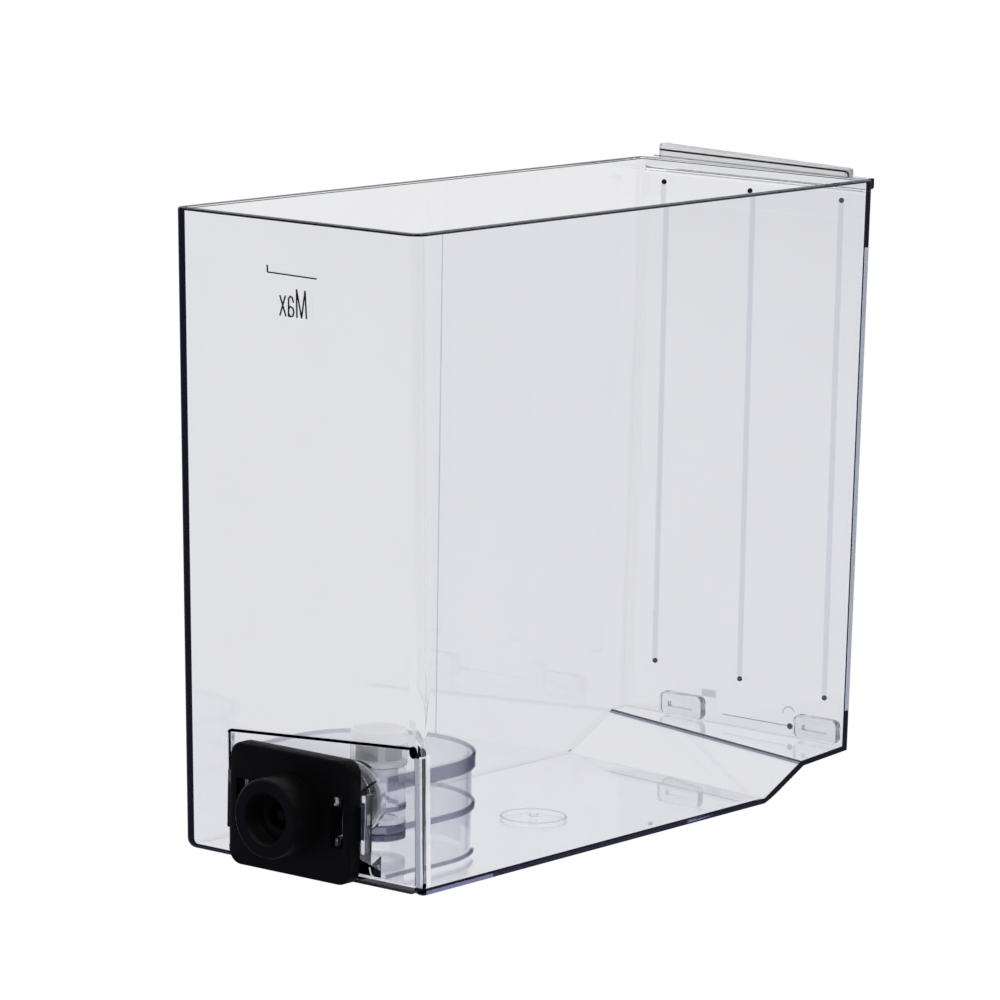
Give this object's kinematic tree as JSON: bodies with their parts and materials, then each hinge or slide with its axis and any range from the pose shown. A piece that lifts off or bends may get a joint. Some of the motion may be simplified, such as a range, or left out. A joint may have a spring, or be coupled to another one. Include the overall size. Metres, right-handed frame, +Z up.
{
  "type": "fresh water tank",
  "caption": "Clear removable water tank, open at the top, with a black front coupling plate, check valve, strainer and a moulded rear grip.",
  "frame": {"origin": "middle of the underside, on the resting plane", "axes": "+X across the coupling end, +Y from the coupling end to the grip end, +Z up"},
  "size_m": [0.095, 0.247, 0.2034],
  "materials": {
    "clear_plastic": "clear polished copolyester, faint blue cast at cut edges",
    "clear_insert": "clear moulded copolyester",
    "clear_pad": "clear moulded, lightly frosted",
    "black_plastic": "satin black moulded plastic",
    "seal_rubber": "matt black rubber",
    "valve_plastic": "natural grey acetal",
    "white_plastic": "white acetal",
    "cap_plastic": "natural white acetal",
    "nylon_mesh": "woven nylon filter mesh",
    "spring_steel": "stainless spring wire"
  },
  "bodies": {
    "tank": {"tank_body": "clear_plastic", "outlet_carrier": "clear_insert", "coupling_plate": "black_plastic", "plate_gasket": "seal_rubber", "nozzle_seal": "seal_rubber", "valve_body": "valve_plastic", "o_ring_front": "seal_rubber", "o_ring_rear": "seal_rubber", "valve_spring": "spring_steel", "valve_cap": "cap_plastic", "outlet_elbow": "clear_insert", "strainer_frame": "white_plastic", "strainer_mesh": "nylon_mesh", "rear_guide_left": "clear_pad", "rear_guide_right": "clear_pad"},
    "poppet": {"valve_poppet": "white_plastic", "poppet_seal": "seal_rubber"}
  },
  "joints": [
    {"name": "poppet_slide", "type": "slide", "parent": "tank", "child": "poppet", "axis": [0, 1, 0], "range_m": [0, 0.0035], "stiffness_N_per_m": 250, "springref_m": -0.004, "deforming": ["valve_spring"]}
  ]
}
